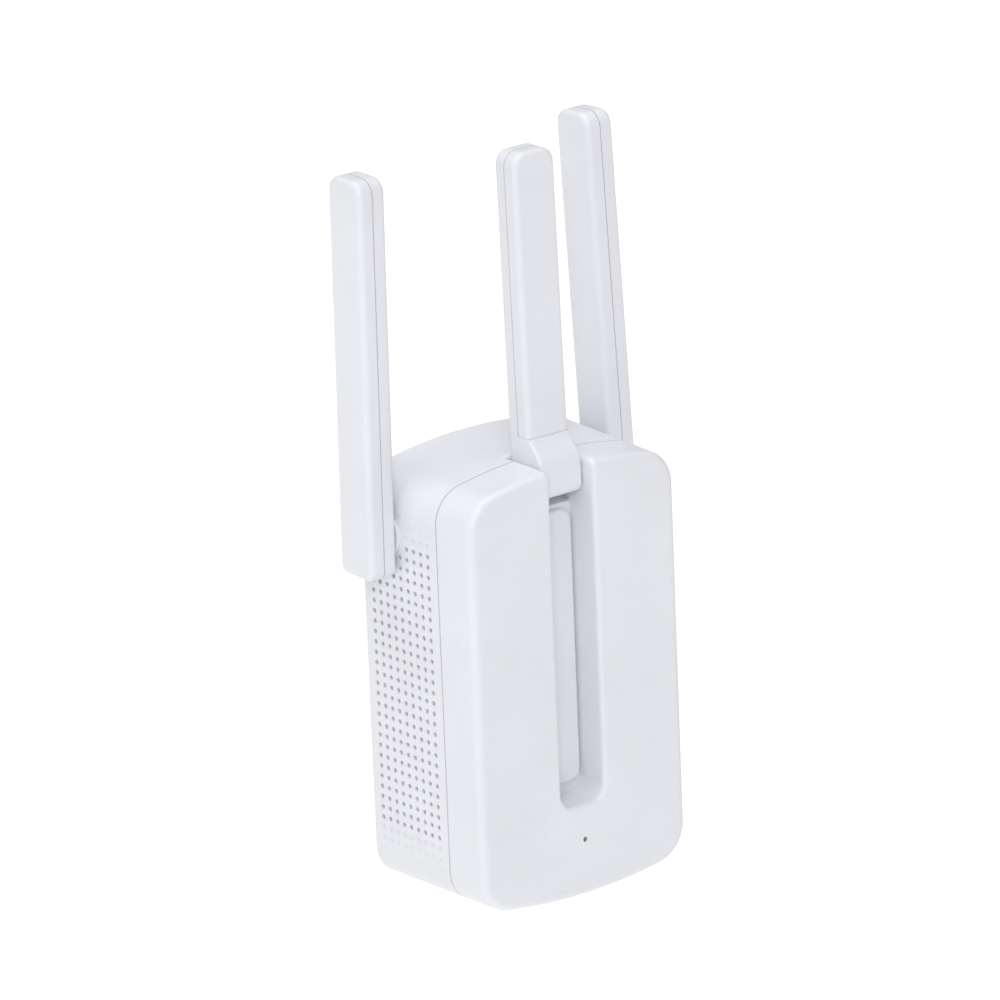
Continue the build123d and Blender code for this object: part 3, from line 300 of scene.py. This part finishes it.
def make_materials():
    made = {}
    for entry in record["materials"]:
        made[entry["slot"]] = bpy.data.materials.new(entry["slot"] + "_finish")
    # Painted highlight: each edge amount given below sets how much the sharp edges are lightened
    moulded(made["white_plastic"], SHELL, 0.40, edge_highlight=0.02, Specular_IOR_Level=0.45)
    moulded(made["plug_plastic"], shade(SHELL, 0.97), 0.30, grain=0.00002)
    moulded(made["dark_plastic"], (0.03, 0.031, 0.035), 0.42, tone=0.18, edge_highlight=0.08)
    moulded(made["acetal"], (0.80, 0.80, 0.83), 0.36, tone=0.03)
    moulded(made["ferrite"], (0.055, 0.055, 0.06), 0.62, grain=0.00008, tone=0.2, edge_highlight=0.1)
    moulded(made["red_film"], (0.45, 0.10, 0.05), 0.25, tone=0.06, Coat_Weight=0.3)
    moulded(made["blue_fuse"], (0.10, 0.22, 0.42), 0.35, tone=0.08)
    moulded(made["grey_jacket"], (0.22, 0.22, 0.23), 0.45, tone=0.06)
    metal(made["nickel"], (0.78, 0.77, 0.74), 0.20, (1, 0.08, 1))
    metal(made["steel"], (0.56, 0.57, 0.59), 0.34, (1, 0.1, 1))
    metal(made["aluminium"], (0.74, 0.75, 0.77), 0.36, (0.1, 1, 1))
    metal(made["brass"], (0.76, 0.60, 0.31), 0.28)
    metal(made["copper"], (0.80, 0.43, 0.27), 0.30, (1, 1, 0.1))
    circuit_board(made["board_green"], (0.02, 0.15, 0.07), (0.70, 0.56, 0.30))
    wound_tape(made["yellow_tape"], (0.76, 0.56, 0.08))
    clear_plastic(made["clear_plastic"], (0.90, 0.93, 0.95))
    return made


def dress_nodes(made):
    """Gives every CAD node its finish."""
    for part in record["subparts"]:
        node = frame["nodes"][part["node"]]
        node.data.materials.clear()
        node.data.materials.append(made[part["material_slot"]])


# ---------------------------------------------------------------- small parts on the main board

def block_piece(name, blocks, bevel, material):
    """One piece made of many small blocks with softened edges, fixed to the housing."""
    shape = bmesh.new()
    for low, high in blocks:
        low, high = Vector(low), Vector(high)
        middle = Matrix.Translation((low + high) / 2)
        bmesh.ops.create_cube(shape, size=1.0, matrix=middle @ Matrix.Diagonal((*(high - low), 1)))
    bmesh.ops.bevel(shape, geom=shape.edges[:], offset=bevel, segments=2, profile=0.5, affect="EDGES")
    mesh = bpy.data.meshes.new(name)
    shape.to_mesh(mesh)
    shape.free()
    mesh.materials.append(material)
    piece = bpy.data.objects.new(name, mesh)
    bpy.context.scene.collection.objects.link(piece)
    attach(piece, "housing")


def on_board(face, x, z, across, up, near, far):
    """A block on the board's front face; near and far are its distances from the board."""
    return (
        (x - across / 2, face - far, z - up / 2),
        (x + across / 2, face - near, z + up / 2),
    )


def chips(face):
    """Rows of chip parts: their ceramic bodies and their soldered ends."""
    layout = random.Random(CHIP_SEED)
    bodies, ends = [], []
    length, width, height = CHIP_SIZE
    reach = (length - CHIP_END) / 2
    for x in CHIP_COLUMNS:
        for z in CHIP_ROWS:
            x_here = x + layout.uniform(-CHIP_SHIFT[0], CHIP_SHIFT[0])
            z_here = z + layout.uniform(-CHIP_SHIFT[1], CHIP_SHIFT[1])
            lying = layout.random() < CHIPS_LYING
            size = (length * 0.8, width * 0.92) if lying else (width * 0.92, length * 0.8)
            bodies.append(on_board(face, x_here, z_here, *size, SOLDER_GAP, height * 0.94))
            for side in (-reach, reach):
                shift = (side, 0) if lying else (0, side)
                end = (CHIP_END, width) if lying else (width, CHIP_END)
                place = (x_here + shift[0], z_here + shift[1])
                ends.append(on_board(face, *place, *end, SOLDER_GAP, height))
    return bodies, ends


def memory_chip(face):
    """A small eight-leg package: its body and its bent legs."""
    x, z = MEMORY_PLACE
    across, up, height = MEMORY_SIZE
    body = [on_board(face, x, z, across, up, MEMORY_LIFT, height)]
    legs = []
    for step in (-1.5, -0.5, 0.5, 1.5):
        for side in (-1, 1):
            leg_x = x + step * LEG_PITCH
            foot_z = z + side * (up / 2 + 0.00085)
            knee_z = z + side * (up / 2 + 0.00045)
            root_z = z + side * (up / 2 + 0.00020)
            legs.append(on_board(face, leg_x, foot_z, LEG_WIDTH, 0.0007, SOLDER_GAP, 0.00022))
            legs.append(on_board(face, leg_x, knee_z, LEG_WIDTH, 0.00018, 0.00006, 0.00074))
            legs.append(on_board(face, leg_x, root_z, LEG_WIDTH, 0.00060, 0.00056, 0.00074))
    return body, legs


def crystal(face):
    """A metal crystal can: a flanged base and a raised lid."""
    x, z = CRYSTAL_PLACE
    return [
        on_board(face, x, z, *CRYSTAL_BASE, SOLDER_GAP, 0.0004),
        on_board(face, x, z, *CRYSTAL_LID, 0.0003, 0.0011),
    ]


def add_board_parts(made):
    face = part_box("main_board")[0].y
    ceramic = bpy.data.materials.new("ceramic_finish")
    moulded(ceramic, (0.42, 0.33, 0.24), 0.34, grain=0.00002, tone=0.12)
    bodies, ends = chips(face)
    memory, legs = memory_chip(face)
    block_piece("chip_bodies", bodies, 0.00004, ceramic)
    block_piece("chip_ends", ends, 0.00005, made["nickel"])
    block_piece("memory_chip_body", memory, 0.00012, made["dark_plastic"])
    block_piece("memory_chip_legs", legs, 0.00004, made["nickel"])
    block_piece("crystal_can", crystal(face), 0.00015, made["steel"])


# ---------------------------------------------------------------- studio

def add_sun(name, towards, strength, softness):
    """Even light from a soft, far source that stands in the direction towards."""
    data = bpy.data.lights.new(name, "SUN")
    data.energy = strength
    data.angle = math.radians(softness)
    light = bpy.data.objects.new(name, data)
    bpy.context.scene.collection.objects.link(light)
    light.rotation_euler = Vector(towards).to_track_quat("Z", "Y").to_euler()


def add_floor(low):
    """A plain pale floor, well below the object."""
    half = FLOOR_HALF
    mesh = bpy.data.meshes.new("floor")
    corners = [(-half, -half, low), (half, -half, low), (half, half, low), (-half, half, low)]
    mesh.from_pydata(corners, [], [(0, 1, 2, 3)])
    floor = bpy.data.objects.new("floor", mesh)
    bpy.context.scene.collection.objects.link(floor)
    material = bpy.data.materials.new("floor_finish")
    s = Shader(material)
    cloud = s.noise(s.place(), 3.0, 3.0, 0.5)
    base = s.mix(s.span(cloud, 0.3, 0.7, 0.0, 1.0), (0.97, 0.97, 0.97), (0.99, 0.99, 0.99))
    surface = s.add("ShaderNodeBsdfPrincipled")
    surface.inputs["Roughness"].default_value = 0.9
    surface.inputs["Specular IOR Level"].default_value = 0.1
    surface.inputs["Emission Strength"].default_value = FLOOR_GLOW
    surface.inputs["Emission Color"].default_value = (1, 1, 1, 1)
    output = s.add("ShaderNodeOutputMaterial")
    s.link(base, surface.inputs["Base Color"])
    s.link(surface.outputs["BSDF"], output.inputs["Surface"])
    mesh.materials.append(material)


def make_studio():
    scene = bpy.context.scene
    world = bpy.data.worlds.new("studio")
    scene.world = world
    world.use_nodes = True
    background = world.node_tree.nodes["Background"]
    background.inputs["Color"].default_value = (1.0, 1.0, 1.0, 1.0)
    background.inputs["Strength"].default_value = WORLD_STRENGTH
    scene.view_settings.view_transform = "Standard"
    scene.view_settings.look = "None"
    add_floor(start_box[0].z - FLOOR_DROP)
    for name, (towards, strength, softness) in SUNS.items():
        add_sun(name, towards, strength, softness)


def make_camera():
    azimuth = math.radians(CAMERA_AZIMUTH)
    elevation = math.radians(CAMERA_ELEVATION)
    roll = math.radians(CAMERA_ROLL)
    level = math.cos(elevation)
    back = Vector((math.sin(azimuth) * level, -math.cos(azimuth) * level, math.sin(elevation)))
    right = Vector((math.cos(azimuth), math.sin(azimuth), 0))
    up = back.cross(right)
    right, up = (
        math.cos(roll) * right - math.sin(roll) * up,
        math.sin(roll) * right + math.cos(roll) * up,
    )
    data = bpy.data.cameras.new("camera")
    data.sensor_width = SENSOR_MM
    data.lens = FOCAL_MM
    data.clip_start = NEAREST
    data.clip_end = FARTHEST
    camera = bpy.data.objects.new("camera", data)
    bpy.context.scene.collection.objects.link(camera)
    turn = Matrix((right, up, back)).transposed().to_4x4()
    camera.matrix_world = Matrix.Translation(CAMERA_PLACE) @ turn
    bpy.context.scene.camera = camera


finishes = make_materials()
dress_nodes(finishes)
add_board_parts(finishes)
make_studio()
make_camera()
